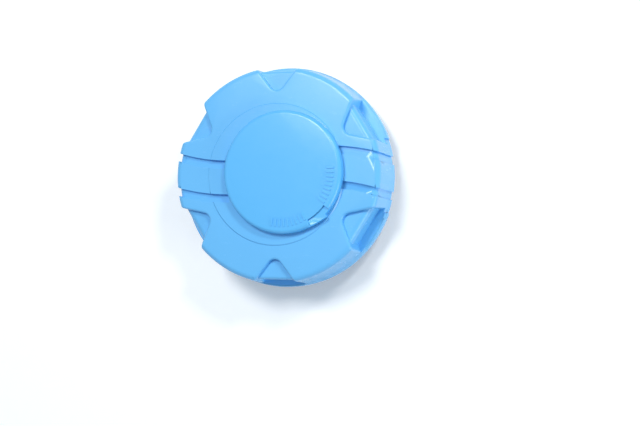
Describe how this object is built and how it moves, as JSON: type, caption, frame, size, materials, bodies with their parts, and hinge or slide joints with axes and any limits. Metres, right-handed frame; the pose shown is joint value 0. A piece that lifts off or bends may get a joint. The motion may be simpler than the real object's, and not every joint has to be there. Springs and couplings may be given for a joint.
{
  "type": "diesel exhaust fluid cap",
  "caption": "Lockable round screw-in tank cap with wedge pockets, ribbed grip bars, a swinging lock cover, a barrel lock and a bayonet neck insert.",
  "frame": {"origin": "on the axis of the cap, at the bottom of the bayonet plate", "axes": "+Z along the cap axis, from the plate to the face; +X along the two grip bars; +Y across them, to the side where the cover has its pivot"},
  "size_m": [0.083, 0.084, 0.0299],
  "materials": {
    "shell_plastic": "moulded satin",
    "cover_plastic": "moulded satin",
    "steel": "satin",
    "housing_metal": "satin nickel",
    "plug_metal": "polished",
    "brass": "satin",
    "nut_metal": "satin",
    "washer_plastic": "satin",
    "insert_plastic": "moulded satin",
    "plate_steel": "zinc",
    "gasket_rubber": "matt",
    "filter_felt": "felt"
  },
  "bodies": {
    "insert": {"neck_insert": "insert_plastic", "bayonet_plate": "plate_steel", "neck_gasket": "gasket_rubber", "plate_screws": "steel", "vent_cage": "insert_plastic", "vent_spring": "steel", "filter_disc": "filter_felt"},
    "shell": {"grip_shell": "shell_plastic", "lock_housing": "housing_metal", "ring_nut": "nut_metal", "upper_washer": "washer_plastic", "lower_washer": "washer_plastic", "retaining_ring": "steel", "pivot_washer": "steel", "pin_spring_right": "steel", "pin_spring_left": "steel"},
    "cover": {"lock_cover": "cover_plastic", "pivot_pin": "steel", "pivot_clip": "steel"},
    "plug": {"lock_plug": "plug_metal", "lock_wafers": "brass", "plug_clip": "steel"},
    "pin_right": {"drive_pin_right": "steel"},
    "pin_left": {"drive_pin_left": "steel"},
    "poppet": {"vent_poppet": "washer_plastic"}
  },
  "joints": [
    {"name": "shell_turn", "type": "hinge", "parent": "insert", "child": "shell", "pos_m": [0, 0, 0.018], "axis": [0, 0, 1], "continuous": true},
    {"name": "cover_swing", "type": "hinge", "parent": "shell", "child": "cover", "pos_m": [-0.01009, 0.01439, 0.026], "axis": [0, 0, -1], "range_deg": [0, 155]},
    {"name": "plug_turn", "type": "hinge", "parent": "shell", "child": "plug", "pos_m": [0, 0, 0.018], "axis": [0, 0, 1], "range_deg": [0, 90]},
    {"name": "pin_right_slide", "type": "slide", "parent": "shell", "child": "pin_right", "axis": [1, 0, 0], "range_m": [0, 0.0018], "deforming": ["pin_spring_right"]},
    {"name": "pin_left_slide", "type": "slide", "parent": "shell", "child": "pin_left", "axis": [-1, 0, 0], "range_m": [0, 0.0018], "deforming": ["pin_spring_left"]},
    {"name": "vent_lift", "type": "slide", "parent": "insert", "child": "poppet", "axis": [0, 0, -1], "range_m": [0, 0.0015], "stiffness_N_per_m": 60, "springref_m": -0.001, "deforming": ["vent_spring"]}
  ],
  "couplings": [
    {"joint": "pin_right_slide", "follows": "plug_turn", "m_per_rad": 0.001145},
    {"joint": "pin_left_slide", "follows": "plug_turn", "m_per_rad": 0.001145}
  ]
}
